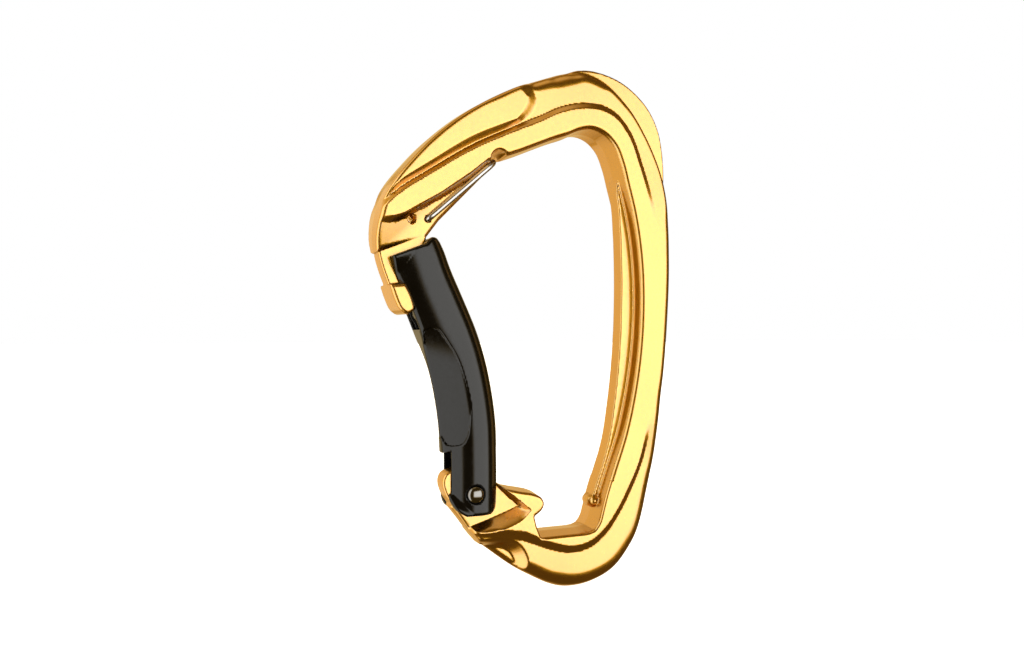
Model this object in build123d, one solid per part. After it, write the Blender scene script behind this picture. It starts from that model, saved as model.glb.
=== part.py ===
"""Bent-gate carabiner, the rope-end clip of a climbing quickdraw.

The bar lies in the XZ plane and its thickness runs along Y.  Z runs up the long way, the spine is on
the +X side and the gate on the -X side.  The origin is the centre of the rope basket, the round seat
at the top where a loaded rope hangs.  The front and the back are mirror images.
"""
import math
import os

from build123d import *

# Thicknesses, each one half of the full size
bar_half = 4.4
flange_half = 1.6
shoulder_half = 1.9
tang_half = 1.9
nose_head_half = 3.7
gate_half = 4.6
slot_half = 2.1

# Rope basket
basket_radius = 8.9

# Gate hinge
pin_x = -22.6
pin_z = -60.6
pin_radius = 1.6
pin_running_gap = 0.06
rivet_dome_height = 0.6
rivet_seat_radius = 2.1
rivet_seat_depth = 0.35
gate_inner_reach = 5.5
gate_bottom = 4.0
gate_corner_radius = 2.2
gate_slot_top = 8.0

# Return spring and its plunger, on a line through the pin
bore_lean = 4.0
bore_radius = 1.9
bore_top = 24.0
bore_breakthrough = 2.0
plunger_radius = 1.84
plunger_tip_radius = 1.5
plunger_tip_gap = 0.05
plunger_top = 13.5
collar_clearance = 1.2
cam_centre_start = 6.1
cam_rise_per_radian = 2.0
cam_sweep = 34.0
spring_wire_radius = 0.25
spring_radius = 1.45
spring_turns = 8
spring_end_gap = 0.02

# Keeper wire under the nose arm
wire_radius = 0.6
wire_pivot = (-31.0, -10.3)
wire_tip = (-18.6, 0.5)
wire_leg_y = 2.35
wire_bend = 0.9
wire_end_y = 0.2
wire_hole_radius = 0.66
jig_hole = (-34.2, -10.5)
jig_hole_radius = 0.8
wire_notch_radius = 1.5

# Rounded rims
bar_round = 0.9
gate_round = 2.2
head_round = 0.3

# Cylinders that stand on their lower end
on_base = (Align.CENTER, Align.CENTER, Align.MIN)


def in_plane(radius, degrees):
    """A point of the XZ plane at a radius and angle about the hinge pin."""
    turn = math.radians(degrees)
    return (pin_x + radius * math.cos(turn), pin_z + radius * math.sin(turn))


def slab(outline, half):
    """The outline, drawn in X and Z, made solid to the same depth on both sides of Y = 0."""
    return extrude(Plane.XZ * make_face(outline), amount=half, both=True)


def disc(centre, radius, half):
    """A round slab about a point of the XZ plane."""
    return extrude(Plane.XZ * (Pos(*centre) * Circle(radius)), amount=half, both=True)


def both_sides(piece):
    """The piece and its mirror image on the other side of the middle plane."""
    return piece + mirror(piece, about=Plane.XZ)


def outer_skin(face, inner_half):
    """Everything over the face from inner_half outwards, on both sides: a cutter for recesses."""
    return both_sides(extrude(Plane.XZ.offset(inner_half) * face, amount=2 * bar_half))


def rounded(solid, half, radius):
    """A slab with the rims of its front and back faces rounded off."""
    rims = solid.edges().filter_by_position(Axis.Y, half, half)
    rims += solid.edges().filter_by_position(Axis.Y, -half, -half)
    return fillet(rims, radius)


def cam_point(degrees_past_rest):
    """The centre of the plunger's tip, as the gate's swing carries it round the pin."""
    rise = cam_rise_per_radian * math.radians(degrees_past_rest)
    return in_plane(cam_centre_start + rise, 90 + bore_lean - degrees_past_rest)


def cam_surface(degrees_past_rest):
    """The tang's edge, one tip radius and a small gap inside the path of the tip's centre."""
    step = 0.5
    x0, z0 = cam_point(degrees_past_rest - step)
    x1, z1 = cam_point(degrees_past_rest + step)
    x, z = cam_point(degrees_past_rest)
    length = math.hypot(x1 - x0, z1 - z0)
    inset = plunger_tip_radius + plunger_tip_gap
    return (x + inset * (z1 - z0) / length, z - inset * (x1 - x0) / length)


def bar():
    """The forged bar at full thickness, from the nose round to the foot of the tang."""
    nose = (-40.9, -16.4)
    outside = Spline(
        nose, (-41.1, -11.5), (-39.3, -5.6), (-34.7, 1.1), (-27.1, 8.3), (-17.6, 14.7),
        (-9.0, 18.4), (-1.0, 20.0), (5.0, 18.6), (9.7, 15.2), (14.5, 9.1), (18.0, 2.2),
        (20.2, -6.0), (20.9, -16.0), (20.3, -29.5), (18.7, -45.0), (15.5, -61.7), (11.7, -73.4),
        (7.5, -78.2), (2.6, -80.3), (-3.0, -80.7), (-11.2, -77.5), (-21.6, -70.3),
    )
    foot = (-27.0, -62.2)
    nose_inner = (-31.3, -13.5)
    basket_start = (-3.2, 8.3)
    inside = Spline(
        (basket_radius, 0.0), (11.2, -7.5), (12.9, -16.5), (13.2, -26.0), (12.0, -39.4),
        (9.0, -52.2), (5.0, -61.8), (3.2, -67.3), tangents=[(0.05, -1), (-0.1, -1)],
    )
    floor_z = -69.6
    outline = [
        outside,
        Line((-21.6, -70.3), foot),
        Line(foot, (-22.6, -58.5)),
        Line((-22.6, -58.5), (-16.5, -59.7)),
        Spline((-16.5, -59.7), (-13.0, -60.9), (-9.4, -61.3), (-6.8, -63.3), (-8.3, -65.8)),
        Line((-8.3, -65.8), (-6.4, floor_z)),
        Line((-6.4, floor_z), (1.0, floor_z)),
        Spline((1.0, floor_z), (2.6, -69.0), (3.2, -67.3), tangents=[(1, 0), (0.1, 1)]),
        inside,
        ThreePointArc((basket_radius, 0.0), (5.6, 6.9), basket_start),
        Spline(basket_start, (-6.2, 6.3), (-12.0, 3.6), (-17.4, 1.2)),
        Line((-17.4, 1.2), (-20.3, -1.6)),
        Line((-20.3, -1.6), (-29.8, -11.2)),
        Line((-29.8, -11.2), nose_inner),
        Line(nose_inner, nose),
    ]
    return rounded(slab(outline, bar_half), bar_half, bar_round)


def spine_flange():
    """A thin rib down the inside of the spine, ending in a small nub over the sling slot."""
    edge = Spline(
        (8.9, -1.0), (10.0, -11.0), (10.2, -22.0), (8.7, -38.5), (6.2, -52.7), (2.9, -63.0),
        (2.1, -65.0), (3.4, -66.8),
    )
    back = Spline((3.4, -66.8), (10.0, -56.0), (15.0, -30.0), (14.0, -10.0), (8.9, -1.0))
    return slab([edge, back], flange_half)


def shoulder_flange():
    """A thin crescent outside the top corner of the bar."""
    edge = Spline(
        (-2.0, 20.0), (4.8, 20.4), (9.1, 19.3), (12.9, 17.2), (16.1, 14.2), (19.2, 5.6), (19.8, -5.5),
    )
    back = Spline((19.8, -5.5), (12.0, 8.0), (-2.0, 20.0))
    return slab([edge, back], shoulder_half)


def nose_key():
    """The thin neck under the nose and the thick head at its end, which the gate closes round."""
    neck = Polyline(
        (-40.9, -15.9), (-31.4, -13.0), (-31.6, -14.6), (-35.8, -16.2), (-35.2, -20.4),
        (-34.6, -25.6), (-37.2, -25.6), (-39.3, -20.6), close=True,
    )
    head = Polyline(
        (-38.9, -22.9), (-37.2, -22.7), (-36.3, -22.8), (-34.5, -25.6), (-34.4, -26.6),
        (-36.0, -27.2), (-37.6, -25.8), close=True,
    )
    solid = slab(head, nose_head_half)
    return slab(neck, flange_half) + fillet(solid.edges().filter_by(Axis.Y), head_round)


def tang():
    """The thin tongue between the gate's ears, with the cam that lifts the plunger."""
    lobe = ThreePointArc((-27.2, -61.9), (-28.6, -58.0), (-25.6, -56.2))
    cam_start = cam_surface(-5)
    cam_end = cam_surface(cam_sweep)
    cam = Spline(cam_start, cam_surface(9), cam_surface(22), cam_end)
    outline = [
        lobe,
        Line((-25.6, -56.2), cam_start),
        cam,
        Line(cam_end, (-15.4, -60.2)),
        Line((-15.4, -60.2), (-12.0, -68.0)),
        Line((-12.0, -68.0), (-21.6, -69.4)),
        Line((-21.6, -69.4), (-27.2, -61.9)),
    ]
    return slab(outline, tang_half)


def ear_recess():
    """The flat milled down on each side of the tang, where the gate's ears swing."""
    outline = Polyline(
        (-34.0, -52.0), (-16.2, -52.0), (-15.8, -60.6), (-12.4, -63.6), (-13.2, -64.1),
        (-22.8, -67.4), (-25.4, -70.5), (-34.0, -70.5), close=True,
    )
    return outer_skin(make_face(outline), tang_half)


def wire_pocket():
    """The shallow pocket on each side under the nose arm, where the keeper wire's legs lie."""
    outline = Polyline(
        (-36.0, -10.2), (-34.7, -8.8), (-29.4, -5.7), (-23.7, -1.6), (-20.1, 1.0), (-16.0, -2.0),
        (-30.2, -14.5), close=True,
    )
    return outer_skin(make_face(outline), flange_half)


def body():
    """The forged and machined frame, in one solid."""
    solid = bar() + spine_flange() + shoulder_flange()
    solid = solid - wire_pocket() - ear_recess() + nose_key() + tang()
    solid -= disc((pin_x, pin_z), pin_radius + pin_running_gap, bar_half)
    solid -= disc(wire_pivot, wire_hole_radius, bar_half)
    solid -= disc(jig_hole, jig_hole_radius, bar_half)
    solid -= disc(wire_tip, wire_notch_radius, 2 * bar_half)
    return solid


def gate_blank():
    """The bent gate's outer shape: a flat tip that closes under the nose, and a round foot."""
    bottom = pin_z - gate_bottom
    straight_x = pin_x + gate_inner_reach
    corner = (straight_x, bottom + gate_corner_radius)
    corner_end = (straight_x - gate_corner_radius, bottom)
    outline = [
        Spline(
            (-30.6, -14.7), (-28.9, -15.0), (-27.6, -16.6), (-24.3, -23.1), (-20.6, -32.2),
            (-18.2, -40.5), (straight_x, -51.0),
        ),
        Line((straight_x, -51.0), corner),
        RadiusArc(corner, corner_end, gate_corner_radius),
        Line(corner_end, (-24.0, bottom)),
        Line((-24.0, bottom), (-27.0, pin_z)),
        Line((-27.0, pin_z), (-27.6, -54.0)),
        Spline((-27.6, -54.0), (-28.3, -46.0), (-30.6, -36.0), (-33.4, -28.0)),
        Line((-33.4, -28.0), (-34.0, -26.0)),
        Line((-34.0, -26.0), (-37.2, -20.6)),
        Line((-37.2, -20.6), (-38.1, -17.2)),
        Line((-38.1, -17.2), (-30.6, -14.7)),
    ]
    return rounded(slab(outline, gate_half), gate_half, gate_round)


def gate():
    """The gate with its hinge slot, nose slot, spring bore and rivet holes."""
    solid = gate_blank()
    slot_top = pin_z + gate_slot_top
    hinge_slot = Polyline(
        (-35.0, slot_top), (-10.0, slot_top), (-10.0, -70.0), (-35.0, -70.0), close=True,
    )
    solid -= slab(hinge_slot, slot_half)
    nose_slot = Polyline(
        (-42.0, -10.0), (-29.0, -10.0), (-30.6, -16.5), (-33.6, -24.0), (-31.6, -29.4),
        (-38.0, -29.4), close=True,
    )
    solid -= slab(nose_slot, slot_half)
    bore_bottom = gate_slot_top - bore_breakthrough
    bore = Cylinder(bore_radius, bore_top - bore_bottom, align=on_base)
    solid -= along_bore(Pos(0, 0, bore_bottom) * bore)
    solid -= disc((pin_x, pin_z), pin_radius, gate_half)
    seat = Pos(pin_x, pin_z) * Circle(rivet_seat_radius)
    return solid - outer_skin(seat, gate_half - rivet_seat_depth)


def along_bore(piece):
    """Stand a piece made up the Z axis on the line of the spring bore, its base at the hinge pin."""
    return Pos(pin_x, 0, pin_z) * Rot(0, -bore_lean, 0) * piece


def hinge_rivet():
    """The rivet that joins the ears through the tang, with a low dome at each end."""
    top = gate_half + rivet_dome_height
    dome_radius = (pin_radius ** 2 + rivet_dome_height ** 2) / (2 * rivet_dome_height)
    profile = [
        Line((0, -top), (0, top)),
        RadiusArc((0, top), (pin_radius, gate_half), dome_radius),
        Line((pin_radius, gate_half), (pin_radius, -gate_half)),
        RadiusArc((pin_radius, -gate_half), (0, -top), dome_radius),
    ]
    return Pos(pin_x, 0, pin_z) * revolve(make_face(profile), Axis.Y)


def spring_plunger():
    """The push rod, with a round tip that rides on the tang's cam."""
    straight = plunger_top - cam_centre_start
    rod = Cylinder(plunger_tip_radius, straight, align=on_base)
    collar_low = gate_slot_top + collar_clearance
    collar = Cylinder(plunger_radius, plunger_top - collar_low, align=on_base)
    solid = Pos(0, 0, cam_centre_start) * (rod + Sphere(plunger_tip_radius))
    return along_bore(solid + Pos(0, 0, collar_low) * collar)


def gate_spring():
    """The compression spring between the plunger and the blind end of the bore."""
    low = plunger_top + spring_wire_radius + spring_end_gap
    high = bore_top - spring_wire_radius - spring_end_gap
    path = Helix(pitch=(high - low) / spring_turns, height=high - low, radius=spring_radius)
    section = Plane(origin=path @ 0, z_dir=path % 0) * Circle(spring_wire_radius)
    return along_bore(Pos(0, 0, low) * sweep(section, path=path, is_frenet=True))


def keeper_wire():
    """The sprung hairpin under the nose arm: two legs, a round bend, and an inturned end on each leg."""
    run_x = wire_tip[0] - wire_pivot[0]
    run_z = wire_tip[1] - wire_pivot[1]
    reach = math.hypot(run_x, run_z)
    lean = math.degrees(math.atan2(run_z, run_x))
    straight = reach - wire_leg_y
    path = [
        Line((0, -wire_end_y), (0, -wire_leg_y + wire_bend)),
        RadiusArc((0, -wire_leg_y + wire_bend), (wire_bend, -wire_leg_y), -wire_bend),
        Line((wire_bend, -wire_leg_y), (straight, -wire_leg_y)),
        ThreePointArc((straight, -wire_leg_y), (reach, 0), (straight, wire_leg_y)),
        Line((straight, wire_leg_y), (wire_bend, wire_leg_y)),
        RadiusArc((wire_bend, wire_leg_y), (0, wire_leg_y - wire_bend), -wire_bend),
        Line((0, wire_leg_y - wire_bend), (0, wire_end_y)),
    ]
    wire = Wire(Curve() + path)
    section = Plane(origin=wire @ 0, z_dir=wire % 0) * Circle(wire_radius)
    hairpin = sweep(section, path=wire)
    return Pos(wire_pivot[0], 0, wire_pivot[1]) * Rot(0, -lean, 0) * hairpin


pieces = {
    "body": body(),
    "gate": gate(),
    "hinge_rivet": hinge_rivet(),
    "gate_spring": gate_spring(),
    "spring_plunger": spring_plunger(),
    "keeper_wire": keeper_wire(),
}
os.makedirs("parts", exist_ok=True)
for name, piece in pieces.items():
    export_step(piece, f"parts/{name}.step")
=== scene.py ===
"""The looks of a bent-gate carabiner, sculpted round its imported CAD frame.

Lengths in the sculpting code are millimetres: X to the spine, Y through the bar with the front at -Y,
Z up the long way.  The origin is the centre of the rope basket.  Each forged or machined piece is a
distance field, made of a few plan outlines and heights, that is turned into a mesh.
"""
import math

import bpy
import numpy as np
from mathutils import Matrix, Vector


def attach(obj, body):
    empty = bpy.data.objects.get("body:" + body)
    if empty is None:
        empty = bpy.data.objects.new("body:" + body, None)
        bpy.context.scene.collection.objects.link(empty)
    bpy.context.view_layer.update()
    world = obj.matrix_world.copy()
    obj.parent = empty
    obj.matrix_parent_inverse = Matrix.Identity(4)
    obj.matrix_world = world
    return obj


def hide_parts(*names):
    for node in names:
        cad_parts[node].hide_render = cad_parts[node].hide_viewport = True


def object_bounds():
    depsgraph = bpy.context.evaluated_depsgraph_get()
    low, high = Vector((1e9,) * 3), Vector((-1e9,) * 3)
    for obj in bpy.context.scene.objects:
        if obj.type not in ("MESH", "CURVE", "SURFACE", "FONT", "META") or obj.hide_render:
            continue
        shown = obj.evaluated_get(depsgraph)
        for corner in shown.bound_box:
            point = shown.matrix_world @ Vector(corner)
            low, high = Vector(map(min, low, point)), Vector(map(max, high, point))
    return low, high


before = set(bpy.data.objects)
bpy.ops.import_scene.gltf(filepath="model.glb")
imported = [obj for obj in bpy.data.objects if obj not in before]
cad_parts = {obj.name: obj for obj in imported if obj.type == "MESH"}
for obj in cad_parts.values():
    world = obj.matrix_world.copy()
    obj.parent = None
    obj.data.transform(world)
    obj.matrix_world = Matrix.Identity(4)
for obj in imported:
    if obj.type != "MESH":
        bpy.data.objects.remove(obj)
cad_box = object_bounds()

MM = 0.001

# Sides of the cells the fields are sampled on
FULL_CELL = 0.3

# Thicknesses, each one half of the full size
BAR_HALF = 4.4
BAND_HALF = 3.6
SPINE_RIB_HALF = 1.6
SHOULDER_HALF = 1.9
NECK_HALF = 1.9
HEAD_HALF = 3.8
TANG_HALF = 1.9
GATE_HALF = 4.6
SLOT_HALF = 2.1

# The gate's section: the radius of its crown and the lean of the flats beside it
GATE_CREST = 4.6
FACET_LEAN = math.radians(42)

# Hinge rivet
PIN = (-22.6, -60.6)
RIVET_RADIUS = 1.56
RIVET_HOLE = 1.6
RIVET_HEAD_SEAT = 2.0

# Return spring and plunger, on a line through the pin
BORE_LEAN = math.radians(4)
BORE_RADIUS = 1.9
BORE_TOP = 24.0
SPRING_LOW = 13.77
SPRING_HIGH = 23.73
SPRING_TURNS = 8
SPRING_RADIUS = 1.45
SPRING_WIRE = 0.25
PLUNGER_RADIUS = 1.84
PLUNGER_TIP = 1.5
PLUNGER_TIP_CENTRE = 6.1
COLLAR_LOW = 9.1
PLUNGER_TOP = 13.5

# Keeper wire and the small hole beside it
WIRE_RADIUS = 0.6
WIRE_LEG_Y = 2.35
WIRE_BEND = 0.9
WIRE_PIVOT = (-31.0, -10.3)
WIRE_TIP = (-17.7, 1.3)
WIRE_SEAT = 1.75
WIRE_HOLE = 0.66
JIG_HOLE = (-34.2, -10.5)
JIG_HOLE_RADIUS = 0.8
JIG_HOLE_WEB = 0.5


# ---------------------------------------------------------------- outlines

def curve(*points):
    """A smooth open line through the points, dense enough to look round."""
    p = np.array(points, float)
    span = np.hypot(*np.diff(p, axis=0).T)
    slope = np.diff(p, axis=0) / span[:, None]
    before, after = span[:-1, None], span[1:, None]
    inner = (slope[:-1] * after + slope[1:] * before) / (before + after)
    tangent = np.vstack([slope[:1], inner, slope[-1:]])
    line = []
    for a, b, ta, tb, h in zip(p[:-1], p[1:], tangent[:-1], tangent[1:], span):
        t = np.linspace(0, 1, max(2, int(h / 0.7)), endpoint=False)[:, None]
        line.append(
            (1 + 2 * t) * (1 - t) ** 2 * a + t * (1 - t) ** 2 * h * ta
            + t * t * (3 - 2 * t) * b + t * t * (t - 1) * h * tb
        )
    return np.vstack(line + [p[-1:]])


def corners(*points):
    """Straight runs between the points."""
    return np.array(points, float)


def outline(*runs):
    """One closed outline from runs that meet at corners."""
    line = np.vstack(runs)
    return np.vstack([line, line[:1]])


def distance(line, x, z):
    """Distance to a closed outline, negative inside."""
    best = np.full(np.broadcast(x, z).shape, 1e9)
    inside = np.zeros(best.shape, bool)
    for (ax, az), (bx, bz) in zip(line[:-1], line[1:]):
        dx, dz = bx - ax, bz - az
        length = dx * dx + dz * dz
        if length < 1e-12:
            continue
        t = np.clip(((x - ax) * dx + (z - az) * dz) / length, 0, 1)
        best = np.minimum(best, (x - ax - t * dx) ** 2 + (z - az - t * dz) ** 2)
        if az != bz:
            inside ^= ((az > z) != (bz > z)) & (x < dx * (z - az) / dz + ax)
    return np.where(inside, -1.0, 1.0) * np.sqrt(best)


# ---------------------------------------------------------------- solids

def slab(d, y, half, edge):
    """An outline made thick to both sides of Y = 0, with rounded rims."""
    u = d + edge
    v = np.abs(y) - half + edge
    return np.minimum(np.maximum(u, v), 0) + np.hypot(np.maximum(u, 0), np.maximum(v, 0)) - edge


def merge(a, b, fillet):
    """Both solids, with a hollow fillet where they meet."""
    h = np.maximum(fillet - np.abs(a - b), 0) / fillet
    return np.minimum(a, b) - h * h * fillet / 4


def cut(a, b, fillet):
    """The first solid less the second, with a rounded rim."""
    return -merge(-a, b, fillet)


def smooth(t):
    """A soft rise from 0 to 1."""
    t = np.clip(t, 0, 1)
    return t * t * (3 - 2 * t)


def between(inner, outer):
    """0 inside the inner outline, 1 outside the outer one, and a slope with soft ends between them."""
    t = np.clip(inner / np.maximum(inner - outer, 1e-6), 0, 1)
    return 0.75 * t + 0.25 * smooth(t)


def spread(x, z, spots):
    """A value given at a few spots, shared out smoothly over the plane."""
    total, weights = 0, 0
    for sx, sz, value in spots:
        w = 1 / ((x - sx) ** 2 + (z - sz) ** 2 + 1) ** 2
        total, weights = total + w * value, weights + w
    return total / weights


# ---------------------------------------------------------------- meshing

class Plan:
    """The plan outlines of one piece, as distance fields on a grid of square cells."""

    def __init__(self, low, high, deep, outlines):
        self.cell = FULL_CELL
        self.low = low
        self.x = np.arange(low[0], high[0] + self.cell, self.cell)
        self.z = np.arange(low[1], high[1] + self.cell, self.cell)
        layers = int(math.ceil(deep / self.cell)) + 1
        self.y = (np.arange(2 * layers) - layers + 0.5) * self.cell
        self.fields = {
            name: distance(line, self.x[:, None], self.z[None, :]) for name, line in outlines.items()
        }

    def on_grid(self):
        """The distances over the whole grid, ready to be combined with the layers through the bar."""
        return {name: f[:, None, :] for name, f in self.fields.items()}

    def at(self, x, z):
        """The distances at loose points, by smooth interpolation."""
        gx, gz = (x - self.low[0]) / self.cell, (z - self.low[1]) / self.cell
        ix = np.clip(np.floor(gx).astype(int), 1, len(self.x) - 3)
        iz = np.clip(np.floor(gz).astype(int), 1, len(self.z) - 3)
        wx, wz = cubic_weights(gx - ix), cubic_weights(gz - iz)
        result = {}
        for name, f in self.fields.items():
            result[name] = sum(
                wx[i] * sum(wz[j] * f[ix + i - 1, iz + j - 1] for j in range(4)) for i in range(4)
            )
        return result


def cubic_weights(t):
    """The shares of four neighbours in a smooth interpolation between the middle two."""
    return (
        t * (-0.5 + t * (1 - 0.5 * t)), 1 + t * t * (-2.5 + 1.5 * t),
        t * (0.5 + t * (2 - 1.5 * t)), t * t * (-0.5 + 0.5 * t),
    )


def surface_net(f):
    """One point in each cell that the surface crosses, in grid units, and the quads between them."""
    inside = f < 0
    nx, ny, nz = f.shape
    count = np.zeros((nx - 1, ny - 1, nz - 1), np.int8)
    for i in (0, 1):
        for j in (0, 1):
            for k in (0, 1):
                count += inside[i:nx - 1 + i, j:ny - 1 + j, k:nz - 1 + k]
    active = np.argwhere((count > 0) & (count < 8))
    number = np.full(count.shape, -1)
    number[tuple(active.T)] = np.arange(len(active))
    total = np.zeros((len(active), 3))
    crossings = np.zeros(len(active))
    quads = []
    for axis in range(3):
        u, v = (axis + 1) % 3, (axis + 2) % 3
        step = np.eye(3, dtype=int)
        for a in (0, 1):
            for b in (0, 1):
                start = active + a * step[u] + b * step[v]
                f0, f1 = f[tuple(start.T)], f[tuple((start + step[axis]).T)]
                hit = (f0 < 0) != (f1 < 0)
                t = np.where(hit, f0 / np.where(hit, f0 - f1, 1), 0)
                point = (start - active) + t[:, None] * step[axis]
                total += np.where(hit[:, None], point, 0)
                crossings += hit
        first = [slice(None)] * 3
        second = [slice(None)] * 3
        first[axis], second[axis] = slice(0, -1), slice(1, None)
        edges = np.argwhere(inside[tuple(first)] != inside[tuple(second)])
        ok = (edges[:, u] > 0) & (edges[:, v] > 0)
        ok &= (edges[:, u] < f.shape[u] - 1) & (edges[:, v] < f.shape[v] - 1)
        edges = edges[ok]
        around = [edges, edges - step[u], edges - step[u] - step[v], edges - step[v]]
        ring = np.stack([number[tuple(c.T)] for c in around], 1)
        outward = inside[tuple(edges.T)]
        ring[~outward] = ring[~outward][:, ::-1]
        quads.append(ring)
    return active + total / crossings[:, None], np.vstack(quads)


def sculpt(name, plan, shape):
    """Mesh the solid that shape(distances, x, y, z) describes, and settle its points on it."""
    f = shape(plan.on_grid(), plan.x[:, None, None], plan.y[None, :, None], plan.z[None, None, :])
    points, quads = surface_net(np.broadcast_to(f, (len(plan.x), len(plan.y), len(plan.z))))
    p = np.stack([
        plan.low[0] + points[:, 0] * plan.cell,
        plan.y[0] + points[:, 1] * plan.cell,
        plan.low[1] + points[:, 2] * plan.cell,
    ], 1)

    def value(q):
        return shape(plan.at(q[:, 0], q[:, 2]), q[:, 0], q[:, 1], q[:, 2])

    probe = 0.08
    normal = np.zeros_like(p)
    for turn in range(3):
        for axis in range(3):
            shift = np.zeros(3)
            shift[axis] = probe
            normal[:, axis] = (value(p + shift) - value(p - shift)) / (2 * probe)
        steep = np.maximum(np.linalg.norm(normal, axis=1), 0.3)
        normal /= steep[:, None]
        if turn < 2:
            travel = np.clip(value(p) / steep, -plan.cell / 2, plan.cell / 2)
            p -= normal * travel[:, None]
    return mesh_object(name, p * MM, quads, normal)


def mesh_object(name, points, faces, normals=None):
    """A smooth-shaded mesh object from arrays of points and faces."""
    mesh = bpy.data.meshes.new(name)
    mesh.from_pydata(points.tolist(), [], faces.tolist() if hasattr(faces, "tolist") else faces)
    mesh.update()
    mesh.polygons.foreach_set("use_smooth", [True] * len(mesh.polygons))
    if normals is not None:
        length = np.maximum(np.linalg.norm(normals, axis=1), 1e-6)
        mesh.normals_split_custom_set_from_vertices((normals / length[:, None]).tolist())
    piece = bpy.data.objects.new(name, mesh)
    bpy.context.scene.collection.objects.link(piece)
    return piece


# ---------------------------------------------------------------- the forged body

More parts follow.
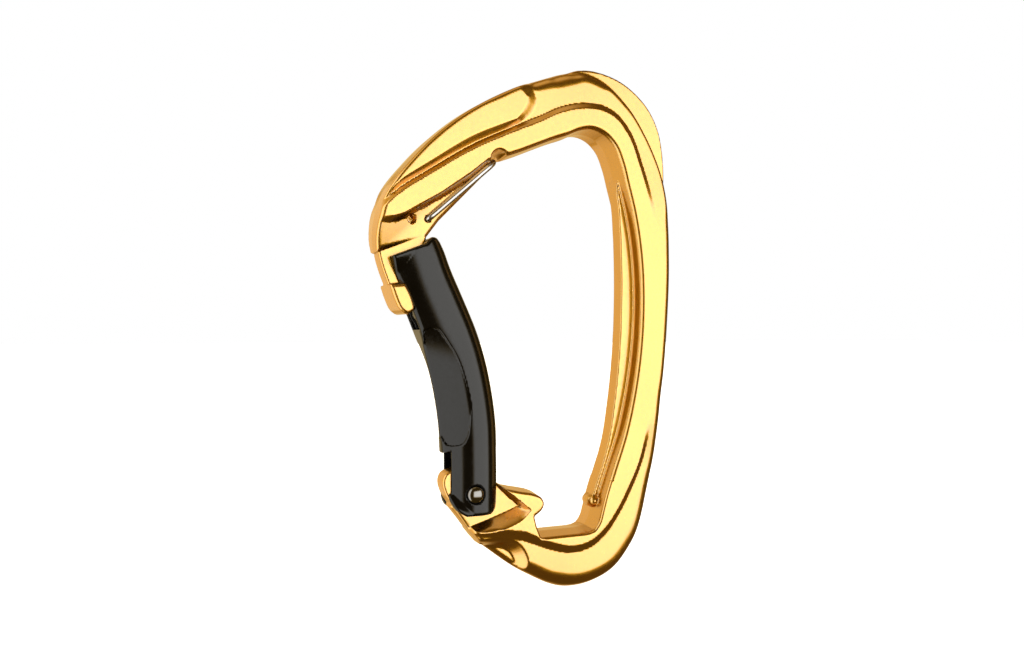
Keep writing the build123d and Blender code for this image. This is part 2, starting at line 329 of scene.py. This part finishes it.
def body_outlines():
    """Every plan outline of the body, from the parting line inwards."""
    outside = outline(
        curve(
            (-40.6, -16.9), (-40.9, -14.3), (-40.7, -11.5), (-39.0, -5.8), (-34.2, 0.7),
            (-26.7, 7.8), (-17.2, 13.8), (-8.6, 17.6), (-1.0, 19.9), (5.0, 18.6), (9.7, 15.2),
            (14.5, 9.1), (18.0, 2.0), (19.7, -6.0), (20.2, -16.0), (19.7, -29.5), (18.2, -45.0),
            (16.0, -61.9), (12.1, -73.4), (7.7, -78.2), (2.7, -80.2), (-3.0, -80.5), (-11.0, -77.1),
            (-21.2, -69.9),
        ),
        corners((-26.6, -63.0), (-22.6, -57.6), (-24.0, -53.0), (-60.0, -49.0), (-60.0, -30.0)),
    )
    opening = outline(
        corners((-60.0, -14.0), (-42.0, -17.3), (-31.2, -13.9), (-28.6, -10.5), (-19.8, -1.6)),
        curve(
            (-17.2, 1.2), (-13.5, 2.6), (-10.0, 4.1), (-6.2, 5.7), (-3.2, 6.8), (-1.0, 7.8),
            (1.6, 8.3), (4.2, 7.6), (6.4, 5.7), (7.8, 2.8), (9.1, -1.6), (10.6, -7.0),
            (12.2, -17.0), (12.5, -25.0), (12.0, -34.0), (10.7, -42.5), (8.6, -51.0), (6.0, -58.2),
            (4.5, -62.4), (3.4, -66.2),
        ),
        curve((3.0, -67.6), (2.0, -69.0), (0.0, -69.4)),
        corners((-9.0, -69.4), (-9.8, -67.4)),
        curve(
            (-10.2, -65.8), (-8.9, -64.9), (-8.2, -63.4), (-8.9, -61.9), (-10.4, -61.1),
            (-13.4, -60.4),
        ),
        corners((-16.2, -59.7), (-20.0, -57.5), (-24.0, -55.0), (-60.0, -50.0)),
    )
    band_top = outline(
        curve(
            (-39.9, -8.9), (-36.3, -5.8), (-31.6, -2.7), (-22.9, 2.7), (-14.2, 6.9), (-9.7, 8.9),
            (-5.2, 11.1), (-0.9, 12.3), (3.2, 12.5), (6.4, 11.5), (9.5, 8.4), (12.2, 2.4),
            (14.2, -3.5), (15.9, -11.0), (16.9, -20.0), (16.9, -29.0), (15.9, -39.0), (14.2, -48.0),
            (11.8, -57.2), (9.9, -61.0), (7.2, -65.6), (4.5, -69.0), (1.4, -71.2), (-2.3, -71.9),
            (-6.6, -70.9), (-9.7, -69.6), (-12.6, -68.2),
        ),
        corners((-60.0, -60.0), (-60.0, -20.0)),
    )
    band_base = outline(
        curve(
            (-40.2, -8.1), (-36.4, -4.8), (-31.6, -1.7), (-22.9, 3.7), (-14.2, 8.0), (-9.4, 10.1),
            (-4.9, 12.3), (-0.6, 13.5), (3.6, 13.7), (7.2, 12.5), (10.7, 9.0), (13.4, 2.7),
            (15.3, -3.2), (17.0, -11.0), (18.1, -20.0), (18.1, -29.0), (17.1, -39.0), (15.4, -48.0),
            (13.0, -57.6), (11.0, -61.8), (8.2, -66.5), (5.2, -70.2), (1.8, -72.6), (-2.5, -73.3),
            (-7.4, -72.2), (-10.4, -71.0), (-13.0, -70.0),
        ),
        corners((-60.0, -62.0), (-60.0, -20.0)),
    )
    panel_top = outline(
        curve((-41.0, -7.6), (-36.3, -3.5), (-31.6, -0.3), (-22.9, 5.3), (-16.8, 8.1), (-14.4, 9.1)),
        curve((-14.4, 9.1), (-13.1, 10.7), (-12.3, 12.6), (-12.2, 13.4)),
        corners((-13.8, 14.8), (-18.0, 18.0), (-50.0, 8.0)),
    )
    panel_base = outline(
        curve((-41.0, -8.8), (-36.1, -4.7), (-31.3, -1.6), (-22.6, 3.9), (-16.2, 7.0), (-13.4, 8.5)),
        curve(
            (-13.4, 8.5), (-11.7, 9.6), (-10.7, 10.8), (-10.1, 12.0), (-10.0, 13.2), (-10.6, 14.7),
            (-11.8, 16.0),
        ),
        corners((-13.5, 18.5), (-50.0, 12.0)),
    )
    shoulder = outline(
        curve(
            (-4.0, 18.4), (-1.0, 20.2), (2.4, 20.7), (5.6, 20.4), (9.4, 19.3), (13.0, 17.2),
            (16.2, 14.1), (18.3, 10.2), (19.3, 5.6), (19.6, 1.0), (19.5, -3.0),
        ),
        corners((18.0, -6.0), (10.0, 10.0)),
    )
    rib = outline(
        curve(
            (9.6, 2.0), (8.6, -2.0), (9.1, -6.0), (9.5, -12.0), (9.7, -18.0), (9.7, -24.3),
            (9.4, -32.4), (8.9, -38.5), (7.9, -46.3), (6.9, -52.0), (5.2, -57.6), (3.8, -61.4),
            (3.0, -63.8),
        ),
        corners((9.0, -60.0), (15.0, -45.0), (16.0, -20.0), (13.0, -6.0)),
    )
    pocket_floor = outline(
        curve((-44.0, -11.4), (-36.6, -11.0), (-35.0, -10.2), (-33.6, -9.3)),
        corners(
            (-28.8, -6.6), (-22.9, -2.6), (-19.4, 0.4), (-10.0, -4.0), (-27.0, -30.0),
            (-44.0, -30.0),
        ),
    )
    pocket_rim = outline(
        curve((-44.0, -10.2), (-37.2, -10.0), (-35.9, -9.5), (-34.4, -8.6)),
        corners(
            (-29.4, -5.7), (-23.6, -1.6), (-20.0, 1.3), (-8.0, -2.0), (-27.0, -31.0),
            (-44.0, -31.0),
        ),
    )
    neck = outline(
        curve((-40.3, -15.0), (-40.0, -17.3), (-39.2, -20.0), (-38.2, -22.6)),
        corners(
            (-37.0, -25.0), (-34.8, -25.4), (-35.6, -20.6), (-36.0, -17.6), (-31.5, -15.6),
            (-31.2, -13.6), (-33.0, -12.0),
        ),
    )
    head = outline(
        corners((-38.5, -22.4), (-35.7, -22.1)),
        curve((-35.7, -22.1), (-34.6, -24.2), (-33.9, -26.3)),
        curve((-34.1, -27.0), (-35.2, -27.7), (-36.5, -27.0), (-37.6, -25.0), (-38.5, -22.4)),
    )
    tang = outline(
        curve(
            (-23.6, -66.7), (-26.0, -63.1), (-27.7, -60.2), (-28.1, -58.4), (-27.6, -57.0),
            (-26.2, -56.3), (-24.6, -56.3),
        ),
        curve((-24.6, -56.3), (-22.0, -57.0), (-18.6, -58.7), (-15.8, -60.2)),
        corners((-11.0, -62.6), (-10.0, -68.0), (-20.6, -70.6)),
    )
    recess_floor = outline(
        corners(
            (-60.0, -45.0), (-22.0, -54.0), (-17.7, -59.5), (-13.2, -63.7), (-22.9, -66.9),
            (-26.0, -72.0), (-60.0, -80.0),
        ),
    )
    recess_rim = outline(
        corners((-60.0, -42.0), (-21.0, -54.0), (-16.6, -60.0)),
        curve((-11.4, -64.3), (-13.0, -65.9), (-15.6, -67.1), (-18.6, -67.8), (-22.2, -67.7)),
        corners((-23.6, -69.0), (-60.0, -84.0)),
    )
    scoop = outline(
        curve(
            (-22.6, -69.1), (-18.6, -68.9), (-15.2, -69.4), (-13.2, -70.6), (-11.9, -72.4),
            (-11.3, -74.4), (-11.9, -76.0),
        ),
        corners((-13.0, -79.0), (-30.0, -79.0), (-27.0, -69.5)),
    )
    return dict(
        outside=outside, opening=opening, band_top=band_top, band_base=band_base, panel_top=panel_top,
        panel_base=panel_base, shoulder=shoulder, rib=rib, pocket_floor=pocket_floor, pocket_rim=pocket_rim,
        neck=neck, head=head, tang=tang, recess_floor=recess_floor, recess_rim=recess_rim, scoop=scoop,
    )


OUTER_EDGE_RADII = (
    (-40.0, -12.0, 0.9), (-34.0, 1.0, 0.7), (-24.0, 10.0, 0.7), (-14.0, 16.0, 0.8), (-9.5, 18.0, 2.4),
    (-4.0, 19.6, 3.1), (3.0, 19.0, 2.0), (8.0, 16.5, 1.3), (13.0, 11.5, 1.1), (18.0, 1.0, 1.1),
    (20.0, -14.0, 1.9), (19.2, -33.0, 1.9), (17.0, -50.0, 2.3), (14.5, -66.0, 3.1), (7.0, -78.0, 3.3),
    (-3.0, -80.7, 3.2), (-10.0, -78.0, 2.6), (-17.0, -73.5, 1.6), (-23.0, -68.5, 0.9),
)


def face_height(d, x, z):
    """Half the bar's thickness over the plan: two bands, the panel and the falls at both ends."""
    fade = smooth((z + 12) / 20) + smooth((-46 - z) / 12)
    low = BAR_HALF - (BAR_HALF - BAND_HALF) * np.where(x > 0, np.clip(fade, 0, 1), 1)
    inner_band = BAR_HALF + (low - BAR_HALF) * between(d["band_top"], d["band_base"])
    panel = BAR_HALF + (low - BAR_HALF) * between(d["panel_top"], d["panel_base"])
    height = np.maximum(inner_band, panel)
    nose_face = BAR_HALF - 0.25 * (x + 36) + 0.27 * (z + 6)
    level = 0 * x
    low_land = merge(-merge(-nose_face, -(NECK_HALF + level), 0.8), BAR_HALF + level, 0.5)
    pocket = between(d["pocket_floor"], d["pocket_rim"])
    height = low_land + (height - low_land) * pocket
    recess = between(d["recess_floor"], d["recess_rim"])
    height = TANG_HALF + (height - TANG_HALF) * recess
    bowl = smooth(-d["scoop"] / 2.6) * smooth((-67.5 - z) / 2)
    return height - 2.3 * bowl


def body_shape(d, x, y, z):
    """The whole forging as one distance field."""
    depth = np.abs(y)
    outer = d["outside"] + 0.04 * depth
    inner = -d["opening"] + 0.09 * depth
    plan = np.maximum(outer, inner)
    outer_edge = spread(x, z, OUTER_EDGE_RADII)
    inner_edge = np.where(z < -60, 0.6, 0.9)
    height = face_height(d, x, z)
    edge = np.minimum(np.where(outer > inner, outer_edge, inner_edge), height - 0.3)
    bar = slab(plan, y, height, edge)
    solid = merge(bar, slab(d["neck"], y, NECK_HALF, 0.45), 0.2)
    solid = merge(solid, slab(d["head"], y, HEAD_HALF, 0.75), 0.3)
    solid = merge(solid, slab(d["shoulder"], y, SHOULDER_HALF, 0.3), 0.5)
    rib = slab(d["rib"], y, SPINE_RIB_HALF, 0.35)
    nub = np.sqrt((x - 3.5) ** 2 + (z + 64.2) ** 2 + 0.35 * y * y) - 1.35
    solid = merge(solid, merge(rib, nub, 0.5), 0.35)
    solid = merge(solid, slab(d["tang"], y, TANG_HALF, 0.5), 0.2)
    holes = (
        (JIG_HOLE, JIG_HOLE_RADIUS, JIG_HOLE_WEB), (WIRE_PIVOT, WIRE_HOLE, 0),
        (PIN, RIVET_HOLE + 0.06, 0),
    )
    for (hx, hz), radius, web in holes:
        hole = np.hypot(x - hx, z - hz) - radius
        solid = cut(solid, np.maximum(hole, web - depth) if web else hole, 0.12)
    notch = np.sqrt((x - WIRE_TIP[0]) ** 2 + (z - WIRE_TIP[1]) ** 2) - WIRE_SEAT
    return cut(solid, notch + 0.12 * (BAR_HALF - depth), 0.5)


# ---------------------------------------------------------------- the gate

def gate_outlines():
    """The gate's outline, its smooth rope side, the slots at its ends and the thumb flat."""
    blank = outline(
        corners((-38.1, -17.3), (-32.0, -14.9)),
        curve(
            (-32.0, -14.9), (-30.7, -13.7), (-29.4, -13.7), (-28.1, -15.2), (-26.3, -19.0),
            (-23.7, -24.7), (-21.2, -30.4), (-19.5, -35.5), (-18.2, -41.2), (-17.3, -47.6),
            (-17.1, -54.0), (-17.2, -62.0),
        ),
        curve((-17.2, -62.0), (-17.7, -63.7), (-19.2, -64.6)),
        curve(
            (-24.2, -64.6), (-26.0, -63.4), (-27.1, -61.4), (-27.7, -58.6), (-27.9, -54.0),
            (-28.5, -47.0), (-29.8, -39.6), (-32.0, -32.4), (-33.8, -27.6), (-35.6, -23.6),
            (-36.9, -21.2), (-37.6, -19.2),
        ),
    )
    rope_side = outline(
        curve(
            (-30.0, -10.0), (-27.7, -15.2), (-26.3, -19.0), (-23.7, -24.7), (-21.2, -30.4),
            (-19.5, -35.5), (-18.2, -41.2), (-17.3, -47.6), (-17.1, -54.0), (-17.2, -70.0),
        ),
        corners((-80.0, -70.0), (-80.0, -10.0)),
    )
    nose_slot = outline(
        corners((-50.0, -10.0), (-30.0, -10.0), (-31.0, -16.8)),
        curve((-31.0, -16.8), (-33.4, -24.0), (-33.0, -28.0), (-32.0, -30.0), (-33.6, -30.8)),
        corners((-50.0, -33.0)),
    )
    hinge_slot = outline(
        corners((-60.0, -53.2)),
        curve((-28.0, -53.2), (-25.8, -52.6), (-23.0, -52.4), (-10.0, -52.4)),
        corners((-10.0, -80.0), (-60.0, -80.0)),
    )
    thumb = outline(
        curve((-32.0, -30.6), (-31.3, -34.5), (-30.2, -38.3), (-29.2, -44.0), (-28.2, -49.5)),
        curve(
            (-28.2, -49.5), (-27.2, -51.6), (-25.4, -51.6), (-23.6, -46.0), (-24.6, -40.0),
            (-27.6, -33.2), (-30.8, -30.0), (-32.0, -30.6),
        ),
    )
    return dict(blank=blank, rope_side=rope_side, nose_slot=nose_slot, hinge_slot=hinge_slot, thumb=thumb)


def gate_shape(d, x, y, z):
    """The bent gate: crowned ears, a slot at each end and a flat for the thumb."""
    depth = np.abs(y)
    across = -d["rope_side"] - GATE_CREST
    across = np.where(across > 0, across / (1.12 + 0.45 * smooth((z + 38) / 9)), across)
    deep = np.maximum(depth - (GATE_HALF - GATE_CREST), 0)
    facet = across * math.sin(FACET_LEAN) + deep * math.cos(FACET_LEAN) - GATE_CREST
    crest = np.hypot(across, deep) - GATE_CREST
    section = np.where(across > deep * math.tan(FACET_LEAN), facet, crest)
    solid = cut(section, -d["blank"], 0.7)
    solid = cut(solid, np.maximum(d["thumb"], -0.5 - facet), 0.25)
    for slot in ("nose_slot", "hinge_slot"):
        solid = cut(solid, np.maximum(d[slot], depth - SLOT_HALF), 0.3)
    reach = np.hypot(x - PIN[0], z - PIN[1])
    solid = cut(solid, reach - RIVET_HOLE, 0.05)
    seat = reach - RIVET_HOLE - 0.9 * np.clip(depth - (GATE_HALF - 0.35), -2, 5)
    solid = cut(solid, np.maximum(seat, reach - RIVET_HEAD_SEAT), 0.1)
    up = (z - PIN[1]) * math.cos(BORE_LEAN) - (x - PIN[0]) * math.sin(BORE_LEAN)
    beside = (x - PIN[0]) * math.cos(BORE_LEAN) + (z - PIN[1]) * math.sin(BORE_LEAN)
    bore = np.maximum(np.hypot(beside, y) - BORE_RADIUS, up - BORE_TOP)
    return cut(solid, bore, 0.1)


# ---------------------------------------------------------------- turned and drawn pieces

def circle(centre, side, other, radius, sectors):
    """Points on a circle round the centre, in the plane of the two directions."""
    turns = [2 * math.pi * k / sectors for k in range(sectors)]
    return [centre + (side * math.cos(t) + other * math.sin(t)) * radius for t in turns]


def skin(name, points, sectors):
    """Join rings of points into a closed tube with flat ends."""
    faces = []
    rows = len(points) // sectors
    for low in range(0, (rows - 1) * sectors, sectors):
        high = low + sectors
        for k in range(sectors):
            n = (k + 1) % sectors
            faces.append((low + k, low + n, high + n, high + k))
    faces.append(tuple(reversed(range(sectors))))
    faces.append(tuple(range((rows - 1) * sectors, rows * sectors)))
    return mesh_object(name, np.array([tuple(p) for p in points]) * MM, faces)


def lathe(name, profile, origin, axis):
    """Turn a profile of (radius, distance along) points about the axis through the origin."""
    side = axis.orthogonal().normalized()
    other = axis.cross(side)
    sectors = 64
    points = []
    for radius, along in profile:
        points += circle(origin + axis * along, side, other, radius, sectors)
    return skin(name, points, sectors)


def wire_mesh(name, path, radius):
    """A round wire along a path of points, a little narrower at its very ends."""
    sectors = 20
    side = None
    points = []
    for i, p in enumerate(path):
        ahead = (path[min(i + 1, len(path) - 1)] - path[max(i - 1, 0)]).normalized()
        side = ahead.orthogonal() if side is None else side - ahead * side.dot(ahead)
        side.normalize()
        from_end = min((p - path[0]).length, (p - path[-1]).length)
        shrink = 1 - 0.35 * max(0, 1 - from_end / (0.45 * radius)) ** 2
        points += circle(p, side, ahead.cross(side), radius * shrink, sectors)
    return skin(name, points, sectors)


def along_bore(offset_x, offset_y, up):
    """The place of a point given beside and up the leaning spring bore."""
    return Vector((
        PIN[0] + offset_x * math.cos(BORE_LEAN) - up * math.sin(BORE_LEAN),
        offset_y,
        PIN[1] + offset_x * math.sin(BORE_LEAN) + up * math.cos(BORE_LEAN),
    ))


def make_rivet():
    """The hinge rivet: a shank and a polished low dome at each end."""
    top, shoulder = GATE_HALF + 0.55, GATE_HALF - 0.25
    dome = []
    for k in range(13):
        t = k / 12 * math.pi / 2
        dome.append((RIVET_RADIUS * math.sin(t) + 0.001, shoulder + (top - shoulder) * math.cos(t)))
    profile = [(r, -h) for r, h in dome] + list(reversed(dome))
    return lathe("rivet_polished", profile, Vector((PIN[0], 0, PIN[1])), Vector((0, 1, 0)))


def make_wire():
    """The keeper wire: two straight legs, a round bend at the tip, and inturned ends."""
    start = Vector((WIRE_PIVOT[0], 0, WIRE_PIVOT[1]))
    along = Vector((WIRE_TIP[0], 0, WIRE_TIP[1])) - start
    straight = along.length - WIRE_LEG_Y
    along.normalize()

    def place(forward, y):
        return start + along * forward + Vector((0, y, 0))

    leg = [place(0, -0.2 - 0.15 * k) for k in range(9)]
    for k in range(9):
        t = k / 8 * math.pi / 2
        leg.append(place(WIRE_BEND * (1 - math.cos(t)), WIRE_BEND * (1 - math.sin(t)) - WIRE_LEG_Y))
    for k in range(1, 12):
        leg.append(place(WIRE_BEND + (straight - WIRE_BEND) * k / 12, -WIRE_LEG_Y))
    tip = []
    for k in range(25):
        t = math.pi * (k / 24 - 0.5)
        tip.append(place(straight + WIRE_LEG_Y * math.cos(t), WIRE_LEG_Y * math.sin(t)))
    back_leg = [Vector((p.x, -p.y, p.z)) for p in reversed(leg)]
    return wire_mesh("keeper_wire_drawn", leg + tip + back_leg, WIRE_RADIUS)


def make_spring():
    """The compression spring in the gate's bore."""
    steps = SPRING_TURNS * 24
    path = []
    for k in range(steps + 1):
        turn = 2 * math.pi * SPRING_TURNS * k / steps
        up = SPRING_LOW + (SPRING_HIGH - SPRING_LOW) * k / steps
        path.append(along_bore(SPRING_RADIUS * math.cos(turn), SPRING_RADIUS * math.sin(turn), up))
    return wire_mesh("gate_spring_coiled", path, SPRING_WIRE)


def make_plunger():
    """The round-tipped push rod and its collar."""
    profile = []
    for k in range(1, 12):
        t = math.pi / 2 * k / 11
        profile.append((PLUNGER_TIP * math.sin(t), PLUNGER_TIP_CENTRE - PLUNGER_TIP * math.cos(t)))
    profile += [
        (PLUNGER_TIP, COLLAR_LOW), (PLUNGER_RADIUS - 0.1, COLLAR_LOW + 0.1),
        (PLUNGER_RADIUS, COLLAR_LOW + 0.2), (PLUNGER_RADIUS, PLUNGER_TOP - 0.1),
        (PLUNGER_RADIUS - 0.1, PLUNGER_TOP),
    ]
    axis = (along_bore(0, 0, 1) - along_bore(0, 0, 0)).normalized()
    return lathe("plunger_turned", profile, along_bore(0, 0, 0), axis)


# ---------------------------------------------------------------- materials

def node_material(name):
    """A new material, its node tree and its Principled shader."""
    material = bpy.data.materials.new(name)
    material.use_nodes = True
    tree = material.node_tree
    return material, tree, tree.nodes["Principled BSDF"]


def noise(tree, scale, detail=3.0, stretch=None):
    """A noise pattern in the object's own coordinates."""
    place = tree.nodes.new("ShaderNodeTexCoord")
    texture = tree.nodes.new("ShaderNodeTexNoise")
    texture.inputs["Scale"].default_value = scale
    texture.inputs["Detail"].default_value = detail
    source = place.outputs["Object"]
    if stretch:
        mapping = tree.nodes.new("ShaderNodeMapping")
        mapping.inputs["Scale"].default_value = stretch
        tree.links.new(source, mapping.inputs["Vector"])
        source = mapping.outputs["Vector"]
    tree.links.new(source, texture.inputs["Vector"])
    return texture.outputs["Fac"]


def ramp(tree, source, stops):
    """Turn a value into a colour through a few stops of (place, colour)."""
    node = tree.nodes.new("ShaderNodeValToRGB")
    node.color_ramp.elements[0].position, node.color_ramp.elements[0].color = stops[0]
    node.color_ramp.elements[1].position, node.color_ramp.elements[1].color = stops[-1]
    for place, colour in stops[1:-1]:
        node.color_ramp.elements.new(place).color = colour
    tree.links.new(source, node.inputs["Fac"])
    return node.outputs["Color"]


def spread_value(tree, source, low, high):
    """Map a pattern's middle range to low..high."""
    node = tree.nodes.new("ShaderNodeMapRange")
    node.inputs["From Min"].default_value = 0.3
    node.inputs["From Max"].default_value = 0.7
    node.inputs["To Min"].default_value = low
    node.inputs["To Max"].default_value = high
    tree.links.new(source, node.inputs["Value"])
    return node.outputs["Result"]


def bump(tree, shader, source, height):
    """Add a fine relief of this height in metres under whatever relief the shader already has."""
    node = tree.nodes.new("ShaderNodeBump")
    node.inputs["Distance"].default_value = height
    node.inputs["Strength"].default_value = 1.0
    tree.links.new(source, node.inputs["Height"])
    if shader.inputs["Normal"].links:
        tree.links.new(shader.inputs["Normal"].links[0].from_socket, node.inputs["Normal"])
    tree.links.new(node.outputs["Normal"], shader.inputs["Normal"])


def gold_anodised():
    """Dyed aluminium: a gold metal under a clear glossy skin."""
    material, tree, shader = node_material("gold_anodised")
    shader.inputs["Metallic"].default_value = 1.0
    tones = [(0.3, (0.57, 0.285, 0.016, 1)), (0.7, (0.61, 0.312, 0.022, 1))]
    shade = ramp(tree, noise(tree, 90, 2), tones)
    tree.links.new(shade, shader.inputs["Base Color"])
    tree.links.new(spread_value(tree, noise(tree, 1400, 3), 0.27, 0.35), shader.inputs["Roughness"])
    shader.inputs["Coat Weight"].default_value = 1.0
    shader.inputs["Coat IOR"].default_value = 1.9
    shader.inputs["Coat Roughness"].default_value = 0.10
    shader.inputs["Specular Tint"].default_value = (1.0, 0.72, 0.27, 1)
    bump(tree, shader, noise(tree, 3200, 2), 0.0000012)
    bump(tree, shader, noise(tree, 260, 2), 0.000004)
    return material


def black_anodised():
    """Near-black glossy skin on the gate."""
    material, tree, shader = node_material("black_anodised")
    tones = [(0.3, (0.002, 0.002, 0.002, 1)), (0.7, (0.004, 0.004, 0.0042, 1))]
    shade = ramp(tree, noise(tree, 120, 2), tones)
    tree.links.new(shade, shader.inputs["Base Color"])
    shader.inputs["Metallic"].default_value = 0.0
    shader.inputs["IOR"].default_value = 1.4
    tree.links.new(spread_value(tree, noise(tree, 1500, 3), 0.12, 0.20), shader.inputs["Roughness"])
    bump(tree, shader, noise(tree, 2800, 2), 0.0000014)
    bump(tree, shader, noise(tree, 240, 2), 0.000003)
    return material


def steel(name, colour, low, high, stretch=None):
    """Bare steel whose roughness varies from low to high, drawn out along the stretch if given."""
    material, tree, shader = node_material(name)
    shader.inputs["Metallic"].default_value = 1.0
    dark = tuple(0.85 * c for c in colour) + (1,)
    shade = ramp(tree, noise(tree, 400, 3, stretch), [(0.3, dark), (0.7, colour + (1,))])
    tree.links.new(shade, shader.inputs["Base Color"])
    tree.links.new(spread_value(tree, noise(tree, 900, 4, stretch), low, high), shader.inputs["Roughness"])
    bump(tree, shader, noise(tree, 2000, 3, stretch), 0.000002)
    return material


def studio_floor():
    """A matt floor that is as pale as the room."""
    material, tree, shader = node_material("pale_floor")
    shade = ramp(tree, noise(tree, 2, 2), [(0.3, (0.93, 0.93, 0.93, 1)), (0.7, (0.96, 0.96, 0.96, 1))])
    tree.links.new(shade, shader.inputs["Base Color"])
    shader.inputs["Roughness"].default_value = 0.9
    shader.inputs["Specular IOR Level"].default_value = 0.1
    shader.inputs["Emission Color"].default_value = (1, 1, 1, 1)
    shader.inputs["Emission Strength"].default_value = 1.0
    return material


# ---------------------------------------------------------------- studio

def window(tree, source, low, high, soft):
    """1 while the source is between low and high degrees, fading to 0 outside them."""
    parts = []
    for middle, near, far in ((low, 0, 1), (high, 1, 0)):
        node = tree.nodes.new("ShaderNodeMapRange")
        node.interpolation_type = "SMOOTHSTEP"
        node.inputs["From Min"].default_value = math.radians(middle - soft)
        node.inputs["From Max"].default_value = math.radians(middle + soft)
        node.inputs["To Min"].default_value = near
        node.inputs["To Max"].default_value = far
        tree.links.new(source, node.inputs["Value"])
        parts.append(node.outputs["Result"])
    return math_node(tree, "MULTIPLY", *parts)


def math_node(tree, operation, first, second=None):
    """One sum on one or two inputs, each a socket or a number."""
    node = tree.nodes.new("ShaderNodeMath")
    node.operation = operation
    for index, value in enumerate((first, second)):
        if value is None:
            continue
        if isinstance(value, (int, float)):
            node.inputs[index].default_value = value
        else:
            tree.links.new(value, node.inputs[index])
    return node.outputs[0]


# Soft lights by direction from the object: azimuths and elevations in degrees, the soft edges' half
# widths, and brightness.  Azimuth 0 is straight in front of the bar and +90 is beyond the spine.
LIGHTS = (
    ((-6, 62, 7), (-20, 21, 7), 3.0),
    ((-180, 180, 1), (70, 90, 9), 0.9),
    ((-110, -50, 6), (-60, 60, 15), 2.2),
    ((-180, -110, 6), (-50, 50, 15), 1.0),
    ((138, 180, 8), (-50, 50, 15), 0.7),
)
AMBIENT = 0.13

# The room's dim parts are warm and its lights are white: brightness as a share of WHITE_AT, and colour
WHITE_AT = 2.2
ROOM_COLOURS = [
    (0.0, (1.0, 0.58, 0.10, 1)), (0.45, (1.0, 0.74, 0.32, 1)), (1.0, (1.0, 0.98, 0.93, 1)),
]


def make_studio():
    """A studio of large soft lights all round, drawn on the world by direction."""
    world = bpy.data.worlds.new("studio")
    bpy.context.scene.world = world
    world.use_nodes = True
    tree = world.node_tree
    tree.nodes.clear()
    place = tree.nodes.new("ShaderNodeTexCoord")
    split = tree.nodes.new("ShaderNodeSeparateXYZ")
    tree.links.new(place.outputs["Generated"], split.inputs[0])
    front = math_node(tree, "MULTIPLY", split.outputs["Y"], -1.0)
    azimuth = math_node(tree, "ARCTAN2", split.outputs["X"], front)
    elevation = math_node(tree, "ARCSINE", split.outputs["Z"])
    total = None
    for across, up, brightness in LIGHTS:
        light = math_node(tree, "MULTIPLY", window(tree, azimuth, *across), window(tree, elevation, *up))
        light = math_node(tree, "MULTIPLY", light, brightness)
        total = math_node(tree, "ADD", AMBIENT if total is None else total, light)
    studio = tree.nodes.new("ShaderNodeBackground")
    share = math_node(tree, "MULTIPLY", total, 1 / WHITE_AT)
    tree.links.new(ramp(tree, share, ROOM_COLOURS), studio.inputs["Color"])
    tree.links.new(total, studio.inputs["Strength"])
    pale = tree.nodes.new("ShaderNodeBackground")
    pale.inputs["Color"].default_value = (1.0, 1.0, 1.0, 1)
    path = tree.nodes.new("ShaderNodeLightPath")
    mix = tree.nodes.new("ShaderNodeMixShader")
    tree.links.new(path.outputs["Is Camera Ray"], mix.inputs["Fac"])
    tree.links.new(studio.outputs[0], mix.inputs[1])
    tree.links.new(pale.outputs[0], mix.inputs[2])
    output = tree.nodes.new("ShaderNodeOutputWorld")
    tree.links.new(mix.outputs[0], output.inputs["Surface"])


def make_floor():
    """A wide pale floor just under the object."""
    gap, reach = 0.0008, 4.0
    level = cad_box[0].z - gap
    signs = ((-1, -1), (1, -1), (1, 1), (-1, 1))
    points = np.array([(reach * i, reach * j, level) for i, j in signs])
    floor = mesh_object("studio_floor", points, [(0, 1, 2, 3)])
    floor.data.materials.append(studio_floor())
    floor.visible_glossy = False
    floor.visible_diffuse = False


def make_camera():
    """Level with the middle of the long side, and turned a little to the gate side."""
    azimuth = math.radians(-23.5)
    away = 0.165
    aim = Vector((-0.0135, 0, -0.031))
    back = Vector((math.sin(azimuth), -math.cos(azimuth), 0))
    data = bpy.data.cameras.new("camera")
    data.lens = 30.27
    data.sensor_width = 36
    data.clip_start = 0.005
    data.clip_end = 50
    data.dof.use_dof = False
    camera = bpy.data.objects.new("camera", data)
    camera.location = aim + back * away
    camera.rotation_mode = "QUATERNION"
    camera.rotation_quaternion = (-back).to_track_quat("-Z", "Y")
    bpy.context.scene.collection.objects.link(camera)
    bpy.context.scene.camera = camera


# ---------------------------------------------------------------- assembly

def dress(piece, body, node, material):
    """Give a sculpted piece its material and body, and let it stand for its CAD node."""
    piece.data.materials.append(material)
    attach(piece, body)
    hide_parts(node)


make_camera()
make_studio()
make_floor()
bpy.context.scene.view_settings.view_transform = "Standard"

body_plan = Plan((-43.0, -82.6), (22.5, 22.6), 5.0, body_outlines())
body = sculpt("body_forged", body_plan, body_shape)
dress(body, "frame", "body", gold_anodised())
gate_plan = Plan((-40.5, -66.6), (-15.5, -12.8), 5.2, gate_outlines())
gate = sculpt("gate_machined", gate_plan, gate_shape)
dress(gate, "gate", "gate", black_anodised())
rivet_steel = steel("rivet_steel", (0.20, 0.195, 0.19), 0.08, 0.15)
dress(make_rivet(), "gate", "hinge_rivet", rivet_steel)
keeper_steel = steel("keeper_steel", (0.46, 0.455, 0.46), 0.22, 0.32, (1, 1, 0.2))
dress(make_wire(), "keeper", "keeper_wire", keeper_steel)
spring_steel = steel("spring_steel", (0.50, 0.50, 0.50), 0.2, 0.35)
dress(make_spring(), "gate", "gate_spring", spring_steel)
plunger_steel = steel("plunger_steel", (0.55, 0.55, 0.55), 0.2, 0.35)
dress(make_plunger(), "plunger", "spring_plunger", plunger_steel)
